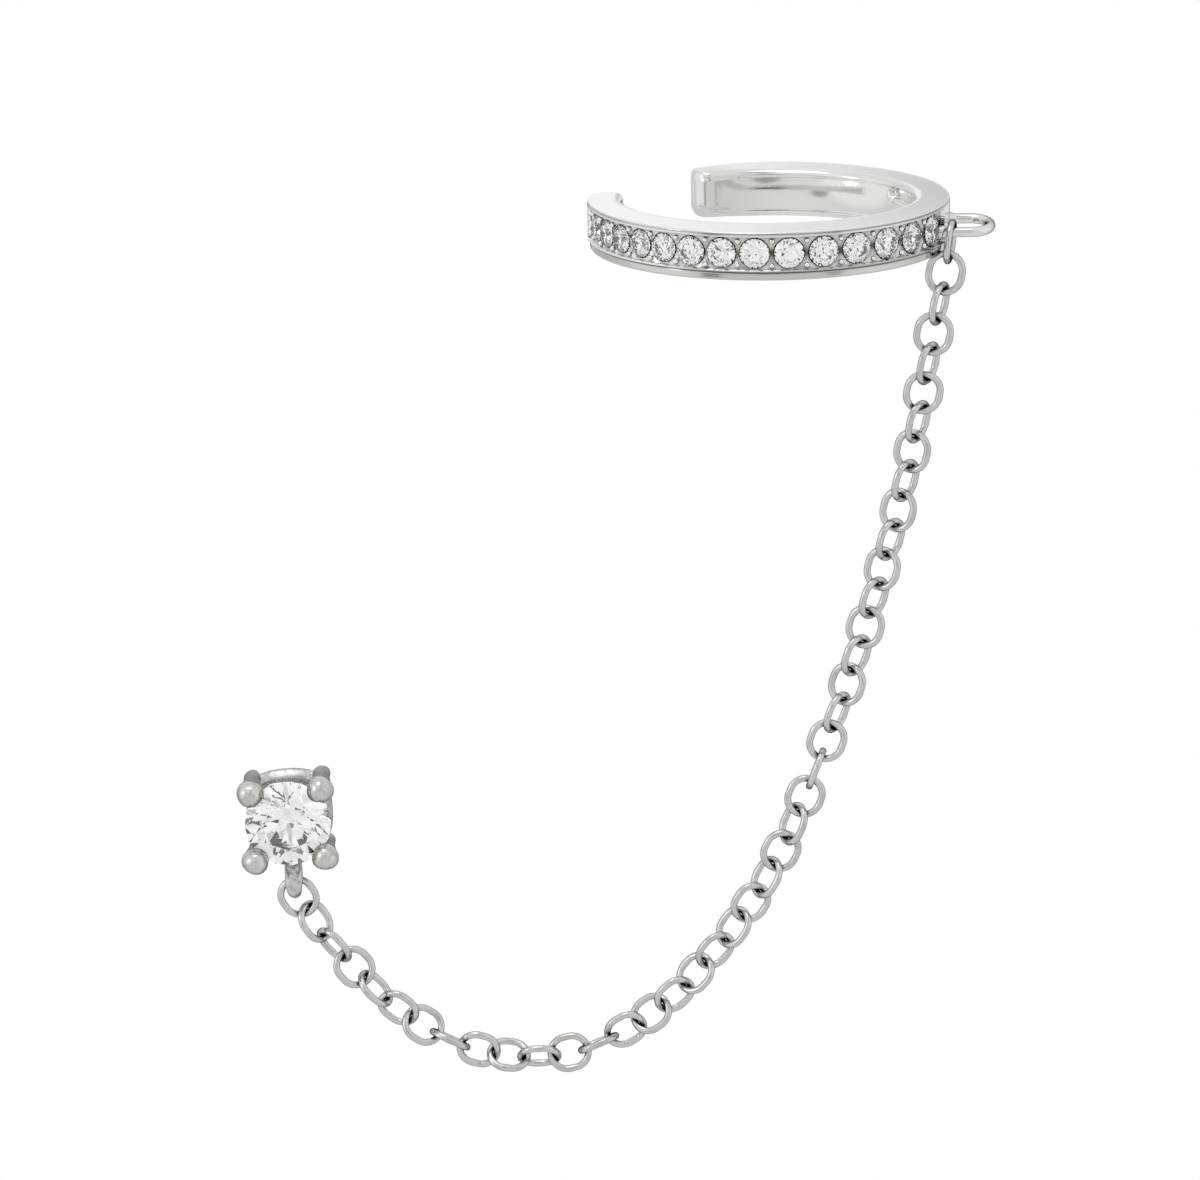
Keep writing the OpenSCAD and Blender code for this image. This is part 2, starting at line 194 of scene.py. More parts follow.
# %% [markdown]
# White metal has hardly any colour of its own: what it shows is the room. Jewellery is photographed in a
# white tent, lit from outside. A sun would be simpler, but only lamps with a large face leave soft edges on
# metal.

# %% Lamps
MIDDLE = (11, 0, 6)


def area_light(name, place, aim, size, watts):
    """A soft rectangular lamp at a place, facing a point; both in millimetres."""
    data = bpy.data.lights.new(name, "AREA")
    data.shape = "RECTANGLE"
    data.size, data.size_y = size[0] * MM, size[1] * MM
    data.energy = watts
    lamp = bpy.data.objects.new(name, data)
    away = Vector(place) * MM - Vector(aim) * MM
    facing = away.to_track_quat("Z", "Y").to_matrix().to_4x4()
    lamp.matrix_world = Matrix.Translation(Vector(place) * MM) @ facing
    bpy.context.scene.collection.objects.link(lamp)
    return lamp


lamps = [
    area_light("overhead", (-40, -60, 320), MIDDLE, (150, 150), 0.12),
    area_light("left window", (-300, -150, 120), MIDDLE, (60, 140), 0.05),
]
print("lamps:", [lamp.name for lamp in lamps])

# %% [markdown]
# Every material is a small circuit of nodes, in which a sum, a blend of two colours and a noise come back
# again and again. It could be drawn by hand, but with a helper for each a circuit reads like its formula.

# %% Nodes
def plug(tree, socket, value):
    """Links the socket to another one, or sets it where a plain value is given."""
    if isinstance(value, bpy.types.NodeSocket):
        tree.links.new(value, socket)
    elif value is not None:
        socket.default_value = value


def maths(tree, operation, *values):
    """One sum on numbers or sockets, and the socket with its result."""
    node = tree.nodes.new("ShaderNodeMath")
    node.operation = operation
    for socket, value in zip(node.inputs, values):
        plug(tree, socket, value)
    return node.outputs[0]


def blend(tree, factor, a, b, way="MIX"):
    """Colour a at factor 0, and b over it at factor 1."""
    node = tree.nodes.new("ShaderNodeMix")
    node.data_type = "RGBA"
    node.blend_type = way
    for key, value in (("Factor", factor), ("A", a), ("B", b)):
        plug(tree, node.inputs[key], value)
    return node.outputs["Result"]


def noise(tree, coords, scale, detail=None):
    """A soft noise over the piece, between 0 and 1."""
    node = tree.nodes.new("ShaderNodeTexNoise")
    for key, value in (("Vector", coords), ("Scale", scale), ("Detail", detail)):
        plug(tree, node.inputs[key], value)
    return node.outputs["Fac"]


def new_material(name):
    """An empty material with its circuit and its surface node."""
    material = bpy.data.materials.new(name)
    material.use_nodes = True
    return material, material.node_tree, material.node_tree.nodes["Principled BSDF"]


print("helpers:", plug.__name__, maths.__name__, blend.__name__, noise.__name__)

# %% [markdown]
# The tent is the world round the earring. Bright walls make the metal white, grey cards draw lines in it, and
# a dark card behind it, in line with the camera, gives every edge its thin grey outline. A picture could be
# wrapped round instead, but cones of grey with soft rims are enough and easy to move.

# %% Tent
# Each part of the tent: the way it lies, the angles at which it is whole and gone, and how bright it is.
TENT = [
    ((0, 0, 1), 42, 78, 0.92),
    ((0, -0.45, -1), 30, 85, 0.8),
    ((-1, -0.25, 0.2), 26, 42, 1.0),
    ((1, -0.3, 0.15), 22, 40, 0.95),
    ((-0.62, -0.78, -0.15), 3, 9, 0.4),
    ((0.66, -0.75, -0.1), 3, 9, 0.45),
    ((0.1, -0.6, 0.8), 5, 12, 0.4),
    ((0, -0.968, 0.25), 6, 13, 0.4),
    ((0, 0.98, 0.2), 12, 26, 0.97),
    ((0.16, 0.966, 0.2), 6.4, 9.4, 0.7),
    ((0, 0.968, -0.25), 6, 17, 0.06),
]
# Black cards that only light from inside a stone reaches: they draw the dark flashes in the stones.
CARDS = [
    ((-0.4, -0.88, 0.25), 5, 9, 0.0),
    ((0.42, -0.82, 0.4), 5, 9, 0.0),
    ((-0.12, -0.93, -0.34), 5, 9, 0.0),
    ((0.6, -0.62, -0.5), 5, 10, 0.0),
    ((-0.62, -0.45, 0.64), 5, 10, 0.0),
    ((0.08, -0.5, 0.86), 5, 10, 0.0),
    ((-0.7, -0.6, -0.4), 5, 9, 0.0),
]
WALLS, STONE_GAIN = 0.78, 0.22


def tent_world():
    """Grey walls, with each part of the tent laid over them by the angle between it and the direction seen.
    Light that comes out of a stone is a little stronger, as small lamps round the tent would make it."""
    world = bpy.data.worlds.new("tent")
    bpy.context.scene.world = world
    world.use_nodes = True
    tree = world.node_tree
    seen = tree.nodes.new("ShaderNodeTexCoord").outputs["Generated"]
    in_stone = tree.nodes.new("ShaderNodeLightPath").outputs["Is Transmission Ray"]
    bright = WALLS
    for number, (way, whole, gone, value) in enumerate(TENT + CARDS):
        angle = tree.nodes.new("ShaderNodeVectorMath")
        angle.operation = "DOT_PRODUCT"
        plug(tree, angle.inputs[0], seen)
        plug(tree, angle.inputs[1], Vector(way).normalized())
        reach = tree.nodes.new("ShaderNodeMapRange")
        reach.interpolation_type = "SMOOTHSTEP"
        plug(tree, reach.inputs["From Min"], math.cos(math.radians(gone)))
        plug(tree, reach.inputs["From Max"], math.cos(math.radians(whole)))
        plug(tree, reach.inputs["Value"], angle.outputs["Value"])
        share = reach.outputs["Result"]
        if number >= len(TENT):
            share = maths(tree, "MULTIPLY", share, in_stone)
        mix = tree.nodes.new("ShaderNodeMix")
        for key, given in (("Factor", share), ("A", bright), ("B", value)):
            plug(tree, mix.inputs[key], given)
        bright = mix.outputs["Result"]
    background = tree.nodes["Background"]
    plug(tree, background.inputs["Color"], bright)
    plug(tree, background.inputs["Strength"], maths(tree, "MULTIPLY_ADD", in_stone, STONE_GAIN, 1.0))


tent_world()
bpy.context.scene.view_settings.view_transform = "Standard"
print("parts of the tent:", len(TENT), "and cards:", len(CARDS))

# %% [markdown]
# The earring lies over white paper. Real paper would also be mirrored in the metal and need its own light, so
# only the camera sees this one, and the metal sees the lower half of the tent.

# %% Floor
FLOOR_HALF, FLOOR_BELOW = 1500, 4


def white_floor():
    """The sweep: one square plane below the earring that gives off plain white."""
    half, low = FLOOR_HALF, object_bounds()[0][2] / MM - FLOOR_BELOW
    corners = np.array([[-half, -half, low], [half, -half, low], [half, half, low], [-half, half, low]]) * MM
    mesh = bpy.data.meshes.new("floor")
    mesh.from_pydata(corners.tolist(), [], [(0, 1, 2, 3)])
    material, tree, _ = new_material("floor paper")
    paper = tree.nodes.new("ShaderNodeEmission")
    paper.inputs["Color"].default_value = (1, 1, 1, 1)
    plug(tree, tree.nodes["Material Output"].inputs["Surface"], paper.outputs[0])
    mesh.materials.append(material)
    floor = bpy.data.objects.new("floor", mesh)
    bpy.context.scene.collection.objects.link(floor)
    floor.visible_glossy = floor.visible_diffuse = floor.visible_transmission = False
    floor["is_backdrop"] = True
    return low


floor_z = white_floor()
print("floor at", round(floor_z, 2), "mm")

# %% [markdown]
# The metal is rhodium-plated white gold. It is never perfectly even: polishing leaves faint clouds and
# handling leaves hairlines. They could be drawn as pictures, but one group of noises makes them at any size,
# and each metal uses it with its own strengths. The same group paints shade into recesses and between parts.

# %% Polishing marks and painted shade in recesses
# The group's own sockets after the metal's colour, with the values that they start from.
MARKS = {"Roughness": 0.1, "Cloud Size": 1500.0, "Clouds": 0.05, "Hairlines": 0.2, "Stain": 0.1,
         "Recess Shade": 0.5, "Reach": 0.0001}
HAIR_TURN, HAIR_STRETCH, HAIR_SCALE = (0.4, 0.2, 0.9), (1, 14, 3), 2200
# The stain's tint, and the tint of the painted shade in recesses.
STAINED, RECESS_SHADE_TINT = (0.35, 0.34, 0.32, 1), (0.02, 0.02, 0.02, 1)
SMOOTHEST, DEEPEST, RECESS_SHADE_POWER = 0.02, 0.97, 1.3


def polish_and_shade_group():
    """Clouds from a soft noise, hairlines from a stretched one, and their sum as a height. Where metal or stone
    is close, the colour darkens by a power of the share of directions that are closed off: painted shade in
    recesses and between parts."""
    group = bpy.data.node_groups.new("polishing marks and recess shade", "ShaderNodeTree")
    socket = group.interface.new_socket
    socket("Metal", in_out="INPUT", socket_type="NodeSocketColor")
    for name, value in MARKS.items():
        socket(name, in_out="INPUT", socket_type="NodeSocketFloat").default_value = value
    for name, kind in (("Color", "Color"), ("Roughness", "Float"), ("Height", "Float")):
        socket(name, in_out="OUTPUT", socket_type="NodeSocket" + kind)
    given = group.nodes.new("NodeGroupInput").outputs
    put = group.nodes.new("NodeGroupOutput").inputs
    coords = group.nodes.new("ShaderNodeTexCoord").outputs["Object"]
    stretch = group.nodes.new("ShaderNodeMapping")
    plug(group, stretch.inputs["Vector"], coords)
    stretch.inputs["Rotation"].default_value = HAIR_TURN
    stretch.inputs["Scale"].default_value = HAIR_STRETCH
    cloud = maths(group, "SUBTRACT", noise(group, coords, given["Cloud Size"], 3), 0.5)
    line = maths(group, "SUBTRACT", noise(group, stretch.outputs[0], HAIR_SCALE, 2), 0.5)
    rough = maths(group, "MULTIPLY_ADD", cloud, given["Clouds"], given["Roughness"])
    plug(group, put["Roughness"], maths(group, "MAXIMUM", rough, SMOOTHEST))
    plug(group, put["Height"], maths(group, "MULTIPLY_ADD", line, given["Hairlines"], cloud))
    stain = maths(group, "MULTIPLY", maths(group, "MAXIMUM", cloud, 0.0), given["Stain"])
    # Painted shade: the colour darkens where metal or stone is close by.
    near = group.nodes.new("ShaderNodeAmbientOcclusion")
    near.samples = 8
    plug(group, near.inputs["Distance"], given["Reach"])
    closed = maths(group, "POWER", maths(group, "SUBTRACT", 1.0, near.outputs["AO"]), RECESS_SHADE_POWER)
    recess_shade = maths(group, "MINIMUM", maths(group, "MULTIPLY", closed, given["Recess Shade"]), DEEPEST)
    metal = blend(group, stain, given["Metal"], STAINED, "MULTIPLY")
    plug(group, put["Color"], blend(group, recess_shade, metal, RECESS_SHADE_TINT))
    return group


POLISH_AND_SHADE = polish_and_shade_group()
print("sockets of the marks:", ", ".join(MARKS))

# %% [markdown]
# The band was polished on a wheel, loop and links are drawn wire, and the cast stud is the softest. Lines
# could be painted on, but the shader mirrors by itself, and its grazing tint darkens round wire where it
# turns aside.

# %% Metals
RELIEF_DEEP = 0.01
# The tint that the attribute dark blends towards: painted shade and painted reflection.
PAINTED_SHADE_TINT = (0.1, 0.096, 0.08, 1)


def white_metal(name, colour, marks, relief, edge):
    """The marks give the metal's colour, roughness and a very low relief, and paint shade into its recesses.
    Edge is how much less light it gives back at grazing angles than a perfect mirror, the shader's own tint. The
    attribute dark is painted shade and painted reflection, blended towards a dark tint; it is zero where a piece
    has none."""
    material, tree, surface = new_material(name)
    finish = tree.nodes.new("ShaderNodeGroup")
    finish.node_tree = POLISH_AND_SHADE
    finish.inputs["Metal"].default_value = (*colour, 1)
    for key, value in zip(MARKS, marks):
        finish.inputs[key].default_value = value
    bump = tree.nodes.new("ShaderNodeBump")
    bump.inputs["Strength"].default_value = relief
    bump.inputs["Distance"].default_value = RELIEF_DEEP * MM
    plug(tree, bump.inputs["Height"], finish.outputs["Height"])
    # Painted shade and painted reflection, read from the attribute dark.
    painted_shade = tree.nodes.new("ShaderNodeAttribute")
    painted_shade.attribute_name = "dark"
    surface.inputs["Metallic"].default_value = 1
    surface.inputs["Specular Tint"].default_value = (1 - edge, 1 - edge, 1 - edge, 1)
    shown = blend(tree, painted_shade.outputs["Fac"], finish.outputs["Color"], PAINTED_SHADE_TINT)
    plug(tree, surface.inputs["Base Color"], shown)
    plug(tree, surface.inputs["Roughness"], finish.outputs["Roughness"])
    plug(tree, surface.inputs["Normal"], bump.outputs["Normal"])
    return material


BAND_METAL = white_metal("band metal", (0.92, 0.913, 0.885),
                         (0.1, 600, 0.08, 0.3, 0.25, 1.6, 0.12 * MM), relief=0.5, edge=0.0)
LOOP_METAL = white_metal("loop metal", (0.8, 0.793, 0.772),
                         (0.12, 1500, 0.1, 0.4, 0.3, 1.5, 0.12 * MM), relief=0.4, edge=0.85)
WIRE_METAL = white_metal("wire metal", (0.65, 0.645, 0.627),
                         (0.17, 1500, 0.12, 0.5, 1.2, 2.8, 0.16 * MM), relief=0.5, edge=1.0)
CAST_METAL = white_metal("cast metal", (0.66, 0.653, 0.632),
                         (0.28, 4500, 0.25, 0.5, 2.2, 1.0, 0.14 * MM), relief=1.3, edge=0.62)
print("metals:", ", ".join(metal.name for metal in (BAND_METAL, LOOP_METAL, WIRE_METAL, CAST_METAL)))

# %% [markdown]
# A brilliant is clear: its brightness is light that goes in through the top, bounces off the back facets and
# comes out again. It could be painted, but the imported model's flat facets and a material that bends light as
# a diamond does make it by themselves.

# %% Stones
DIAMOND_IOR, HAZE_SCALE = 2.417, 900


def clear_stone(name, tint):
    """Clear material that bends light as a diamond does, with a faint tint that follows a noise."""
    material, tree, surface = new_material(name)
    surface.inputs["Transmission Weight"].default_value = 1
    surface.inputs["IOR"].default_value = DIAMOND_IOR
    surface.inputs["Roughness"].default_value = 0.0
    coords = tree.nodes.new("ShaderNodeTexCoord").outputs["Object"]
    haze = noise(tree, coords, HAZE_SCALE)
    plug(tree, surface.inputs["Base Color"], blend(tree, haze, (1, 1, 1, 1), (*tint, 1)))
    return material


def dress(node, material):
    """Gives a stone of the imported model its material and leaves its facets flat."""
    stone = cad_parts[node]
    for slot in stone.material_slots:
        slot.material = material
    stone.data.polygons.foreach_set("use_smooth", np.zeros(len(stone.data.polygons), bool))


STONES = sorted(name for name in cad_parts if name.startswith("cuff_stone_"))
CLEAR_BIG = clear_stone("clear stud stone", (0.985, 0.99, 1.0))
CLEAR_SMALL = clear_stone("clear row stone", (0.99, 0.99, 0.995))
dress("stud_stone", CLEAR_BIG)
for name in STONES:
    dress(name, CLEAR_SMALL)
print("stones:", 1 + len(STONES))

# %% [markdown]
# The chain hangs from the cuff's side loop, sags and comes up again to the stud. It could be a physics run,
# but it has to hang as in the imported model, so its links step along a smooth curve through that model's
# points, the first three a little further in.

# %% The chain's route
ROUTE = np.array([
    [22.2, -1.09, 19.33], [22.03, -1.3, 18.3], [21.63, -1.4, 16.3], [20.9, -1, 12.1], [19.9, -1, 8.15],
    [18.7, -1, 4.2], [17.3, -1, 0.4], [16, -1, -2.4], [14.2, -1, -5], [12.05, -1, -7.15], [9.2, -1, -8.5],
    [6.1, -1, -8.3], [3.5, -1, -6.8], [1.4, -1, -4.55], [0.25, -1, -2.86],
])
ROUTE_STEPS = 12


def curve_through(points, steps):
    """A smooth curve through points: between two of them it is the cubic that leaves each along the line
    joining its neighbours."""
    ends = np.vstack([2 * points[0] - points[1], points, 2 * points[-1] - points[-2]])
    a, b, c, d = (ends[i:len(ends) - 3 + i, None] for i in range(4))
    t = np.linspace(0, 1, steps, endpoint=False)[None, :, None]
    curve = (2 * b + (c - a) * t + (2 * a - 5 * b + 4 * c - d) * t**2 + (3 * b - a - 3 * c + d) * t**3) / 2
    return np.vstack([curve.reshape(-1, 3), points[-1:]])


CURVE = curve_through(ROUTE, ROUTE_STEPS)
GONE = np.concatenate([[0], np.cumsum(np.linalg.norm(np.diff(CURVE, axis=0), axis=1))])
print("chain length:", round(GONE[-1], 2), "mm")

# %% [markdown]
# Every second link stands a quarter turn to its neighbours, and loose chain also twists. Each row of links
# could have one even twist, but a table of rolls can follow the real chain link by link.

# %% Where each link stands
LINK_COUNT = 43
LOOK_BOTH_WAYS = 0.3
ROLL_AT = np.array([0, 0.07, 0.12, 0.17, 0.26, 0.31, 0.36, 0.4, 0.43, 0.48, 0.52, 0.6, 0.67, 0.71, 0.76,
                    0.83, 0.9, 1])
ROLL_ODD = np.array([-10, -10, 0, -30, -32, -20, -30, 0, 0, 0, 8, 33, 25, 12, -24, -100, -172, -248])
ROLL_EVEN = np.array([-12, -30, -30, -37, -42, -42, -42, -25, -6, 32, 32, 46, 56, -10, -43, -92, -156, -270])


def chain_links():
    """Link centres at equal steps along the curve, with the curve's direction there and the direction of each
    link's width, which is turned about the curve by the roll."""
    share = np.linspace(0, 1, LINK_COUNT)
    at = lambda d: np.stack([np.interp(d, GONE, CURVE[:, k]) for k in range(3)], 1)
    d = share * GONE[-1]
    ahead = unit(at(np.minimum(d + LOOK_BOTH_WAYS, GONE[-1])) - at(np.maximum(d - LOOK_BOTH_WAYS, 0)))
    odd = np.arange(LINK_COUNT) % 2 == 1
    roll = np.where(odd, np.interp(share, ROLL_AT, ROLL_ODD), 90 + np.interp(share, ROLL_AT, ROLL_EVEN))
    roll = np.radians(roll)[:, None]
    across = unit(np.stack([-ahead[:, 2], 0 * ahead[:, 0], ahead[:, 0]], 1))
    side = np.cos(roll) * across + np.sin(roll) * np.cross(across, ahead)
    return at(d), ahead, side


print("from link to link:", round(GONE[-1] / (LINK_COUNT - 1), 3), "mm")

# %% [markdown]
# A link is round wire bent to a ring and closed with a drop of solder, which leaves a slight swelling. One
# link could be copied 43 times, but one sum over all centres gives the same mesh in one piece.

# %% The chain
LINK_LENGTH, LINK_WIDTH, LINK_WIRE = 1.505, 1.32, 0.232
SOLDER_SWELL, SOLDER_REACH = 0.07, 1.2


def link_outline(stations):
    """The wire's middle line in the link's own plane: two half circles joined by short straights, at equal
    steps. Returned as width and length coordinates and as the angle that the line has turned by."""
    bend = (LINK_WIDTH - LINK_WIRE) / 2
    straight = (LINK_LENGTH - LINK_WIRE) / 2 - bend
    half_turn = np.pi * bend
    s = np.linspace(0, 2 * np.pi * bend + 4 * straight, stations, endpoint=False)
    second = s - half_turn - 2 * straight
    turned = np.clip(s, 0, half_turn) / bend + np.clip(second, 0, half_turn) / bend
    down = np.clip(s - half_turn, 0, 2 * straight)
    up_again = np.clip(s - 2 * np.pi * bend - 2 * straight, 0, 2 * straight)
    return bend * np.cos(turned), bend * np.sin(turned) + (straight - down + up_again), turned


def make_chain(stations=44, around=14):
    """Every link at once: the outline placed in each link's plane, with a circle of wire round it. The wire
    swells by a bell curve where it was soldered, in the middle of one side."""
    centre, ahead, side = chain_links()
    wide, long, turned = link_outline(stations)
    normal = np.cross(ahead, side)
    middle = centre[:, None] + wide[:, None] * side[:, None] + long[:, None] * ahead[:, None]
    out = np.cos(turned)[:, None] * side[:, None] + np.sin(turned)[:, None] * ahead[:, None]
    step = np.minimum(np.arange(stations), stations - np.arange(stations))
    radius = LINK_WIRE / 2 * (1 + SOLDER_SWELL * bell(step, 0, SOLDER_REACH))
    t = np.linspace(0, 2 * np.pi, around, endpoint=False)
    ring = np.cos(t)[:, None] * out[:, :, None] + np.sin(t)[:, None] * normal[:, None, None]
    points = middle[:, :, None] + radius[:, None, None] * ring
    faces = [grid_faces(stations, around, True, True, k * stations * around) for k in range(LINK_COUNT)]
    make_piece("chain_links", points, faces, WIRE_METAL, "ear_chain")


make_chain()

# %% [markdown]
# The cuff is rolled and filed from one strip and bent round an oval mandrel. It has a milled channel for the
# stones over a stepped lip, and a soft inside, because it clips on the rim of the ear. It could be cut from a
# ring with booleans, but one rounded section that runs along the arc can blend every cut into it.

# %% Sizes of the band
CUFF_AT = np.array([16.28, 0.9, 18.944])
CUFF_R, CUFF_H = 6.0, 1.6
OPENING_W, OPENING_DEEP, OPENING_BACK = 9.7, 8.6, 0.1
ARM_START, ARM_STOP = -191.0, 118.6
THINNED, FILED = 0.42, 0.3
STEP_H, STEP_DEEP, STEP_SOFT = 0.28, 0.08, 0.02
CHANNEL = (-179.0, -16.8)
CHANNEL_LOW, CHANNEL_HIGH, CHANNEL_DEEP = 0.34, 1.44, 0.13
ROW_Z = (CHANNEL_LOW + CHANNEL_HIGH) / 2
SHARE = np.arange(14) / 13
ROW_AT = -165.2 + 139.514 * (SHARE + 0.167 * SHARE * (SHARE - 1))
ROW_D = 0.9 + 0.14 * SHARE


def opening_r(a):
    """Distance from the cuff's centre to the oval opening's wall, in direction a in radians."""
    oval = 1 / np.hypot(np.cos(a) / (OPENING_W / 2), np.sin(a) / (OPENING_DEEP / 2))
    return oval + OPENING_BACK * np.sin(a)


def outer_r(a):
    """The outside is round. The back arm thins by a soft step towards its end, and the front arm's corner is
    filed off by the square of the distance past its start."""
    degrees = np.degrees(a)
    return CUFF_R - THINNED * ease((degrees - 84) / 38) - FILED * np.clip((-177 - degrees) / 14, 0, 1) ** 2


def quarter_inset(s, r):
    """How far a rounded edge of radius r stands back at a distance s from the end: r less the height of a
    circle of that radius."""
    left = np.clip(r - s, 0, r)
    return r - np.sqrt(np.maximum(r * r - left * left, 0))


print("row of stones from", round(ROW_AT[0], 1), "to", round(ROW_AT[-1], 1), "degrees")

# %% [markdown]
# A band has long plain stretches and short busy ones. Even steps would waste points, so the section's
# stations stand close together only at the rounded ends, along the channel and at the oval recess.

# %% Stations along the arc
FROM_START = [0.02, 0.08, 0.2, 0.4, 0.7, 1.1, 1.6, 2.2, 2.9, 3.8, 4.9, 6, 7, 8, 9, 10, 11, 11.7]
FROM_STOP = [14, 13, 12, 11, 10, 9, 8, 7, 6, 5, 4.2, 3.4, 2.7, 2.1, 1.6, 1.2, 0.85, 0.55, 0.33, 0.18, 0.08,
             0.02]


def arc_stations():
    """Directions as four runs: the front end, the channel, the plain part with the recess, and the back end."""
    front = ARM_START + np.array(FROM_START)
    channel = np.concatenate([[-179.06, -178.94], np.linspace(-178.7, -17.1, 500), [-16.86, -16.74]])
    middle = np.concatenate([np.linspace(-16.5, 6, 18), np.linspace(6.8, 33, 60), np.linspace(34.5, 104, 60)])
    back = ARM_STOP - np.array(FROM_STOP)
    return np.radians(np.concatenate([front, channel, middle, back]))


ARC = arc_stations()
print("stations:", len(ARC))

# %% [markdown]
# The setter mills the channel and cuts a cone under each stone with a burr. Booleans would leave ragged
# triangles in a swept surface, so each cut is a depth that the section gives up at that place.

# %% Depths taken off the band
SEAT_GAP, SEAT_FLOOR, SEAT_SLOPE = 0.025, 0.04, 0.86
CUT_DEEP, CUT_OUT, CUT_W = 0.035, 0.07, 0.035
GROOVE_DEEP, GROOVE_DOWN, GROOVE_W = 0.06, 0.005, 0.014
RECESS_AT, RECESS_ARC_R, RECESS_DOWN = 19.5, 4.8, 0.37
RECESS_DEEP, RECESS_HALF, RECESS_R, RECESS_SOFT = 0.2, 0.6, 0.25, 0.06


def outer_depth(a, z):
    """The stepped lip, the thin groove over it, the channel, and under each stone a cone for its pavilion,
    with the burr's bright ring round it."""
    lip = STEP_DEEP * ease((STEP_H + 0.006 - z) / STEP_SOFT)
    groove = GROOVE_DEEP * bell(z, STEP_H - GROOVE_DOWN, GROOVE_W)
    degrees = np.degrees(a)
    inside = between(degrees, *CHANNEL, 0.1) * between(z, CHANNEL_LOW, CHANNEL_HIGH, 0.006)
    depth = np.full(np.broadcast(a, z).shape, CHANNEL_DEEP)
    for direction, d in zip(ROW_AT, ROW_D):
        off = (degrees - direction + 180) % 360 - 180
        away = np.hypot(np.radians(off) * (CUFF_R - CHANNEL_DEEP), z - ROW_Z)
        cone = CHANNEL_DEEP + SEAT_FLOOR + SEAT_SLOPE * (d / 2 + SEAT_GAP - away)
        bright_cut = CUT_DEEP * bell(away, d / 2 + CUT_OUT, CUT_W)
        depth = np.where(away < d / 2 + SEAT_GAP, np.maximum(depth, cone), depth + bright_cut * inside)
    return lip + groove + inside * depth


def inner_depth(a, z):
    """The oval recess in the inner wall near the side loop: everything within a radius of a short line."""
    along = (np.degrees(a) - RECESS_AT) * np.pi / 180 * RECESS_ARC_R
    away = np.hypot(np.maximum(np.abs(along) - RECESS_HALF, 0), z - (CUFF_H - RECESS_DOWN))
    return RECESS_DEEP * ease((RECESS_R - away) / RECESS_SOFT + 0.5)


print("deepest cut under the last stone:", round(float(outer_depth(np.radians(ROW_AT[-1]), ROW_Z)), 3), "mm")

# %% [markdown]
# The band's colour carries painted shade and painted reflections: a dark line under the top edge, a darker
# channel floor, sill and lip, a darker flat top near the side loop and a darker inner wall. Each point carries
# this as a number, dark. It belongs to the metal and is the same from wherever it is seen.

# %% Painted shade and reflection on the band
# Strengths of the painted shade and painted reflection on the band.
RIM_SHADE, WAIST_SHADE, FLOOR_SHADE, LIP_SHADE, SILL_SHADE = 0.74, 0.32, 0.28, 0.36, 0.5
TOP_SHADE, WALL_SHADE, BACK_SHADE = 0.26, 0.15, 0.22


def band_shade(a, z):
    """The outside's painted shade and reflection: a bell-shaped dark line under the top edge, the channel's
    floor, most of all beside the stones, the sill below it, and the lip, which gets darker towards the open end."""
    degrees = np.degrees(a)
    rim = (RIM_SHADE + 0.14 * np.sin(1.3 * np.radians(degrees + 60))) * bell(z, CUFF_H - 0.06, 0.04)
    waist = (WAIST_SHADE + 0.46 * ease((degrees + 115) / 30)) * bell(z, ROW_Z, 0.17)
    lit = 1 - 0.7 * ease((-108 - degrees) / 25)
    cloud = 0.12 * np.sin(0.9 * degrees + 7 * z) * np.sin(0.53 * degrees - 9 * z + 1)
    floor = lit * (FLOOR_SHADE + cloud + waist)
    floor = floor * between(degrees, *CHANNEL, 0.5) * between(z, CHANNEL_LOW, CHANNEL_HIGH, 0.02)
    lip = (LIP_SHADE + 0.26 * ease((-145 - degrees) / 25)) * ease((STEP_H - z) / STEP_SOFT + 0.5)
    sill = SILL_SHADE * ease((degrees + 135) / 30) * between(z, STEP_H, CHANNEL_LOW, 0.015)
    return (rim + floor + sill) * (1 - ease((degrees + 10) / 20)) + lip


def top_shade(a):
    """The flat top's painted reflection: a bell curve along the arc, highest near the side loop."""
    return TOP_SHADE * bell(np.degrees(a), 5, 38)


def wall_shade(a):
    """The inner wall's painted shade and reflection: one value and a slow wave, five to a full turn."""
    return WALL_SHADE + 0.06 * np.cos(5 * np.radians(np.degrees(a) - 110))


print("top beside the side loop:", round(float(top_shade(0.0)), 3))

# %% [markdown]
# The section gives the band a crisp outer edge, soft inner ones and a slightly barrel-shaped wall. A bevelled
# curve couldn't have a channel cut into it, so it is eight short runs of points.

# %% The band's section
HALF_LEAST = 0.002
FRONT_ROUND, FRONT_EDGE, TOP_ROUND, LOW_ROUND = 0.28, 0.05, 0.24, 0.37
OUTER_EDGE, INNER_EDGE = 0.05, 0.2
BARREL, BARREL_BACK = 0.13, 0.05
SIDE_Z = np.concatenate([[0.08, 0.14, 0.2, 0.25, 0.266, 0.276, 0.286, 0.3, 0.315, 0.33, 0.337, 0.343],
                         np.linspace(0.36, 1.42, 34), [1.437, 1.443, 1.48, 1.53]])
OUTSIDE, TOP, INSIDE = (0, 1, 2), (3,), (4, 5, 6)


def corner(r_edge, z_edge, radius, start, steps, r_in, z_in):
    """A quarter circle of the section. r_in and z_in say which way its centre lies from its edges."""
    t = np.linspace(0, np.pi / 2, steps)[None]
    c, s = (np.cos(t), np.sin(t)) if start == "side" else (np.sin(t), np.cos(t))
    r = (r_edge + r_in * radius)[:, None] - r_in * radius[:, None] * c
    return r, (z_edge + z_in * radius)[:, None] - z_in * radius[:, None] * s


def line(start, stop, shares):
    """Points at the given shares of the way from start to stop, one row a station."""
    return start[:, None] + (stop - start)[:, None] * shares[None]


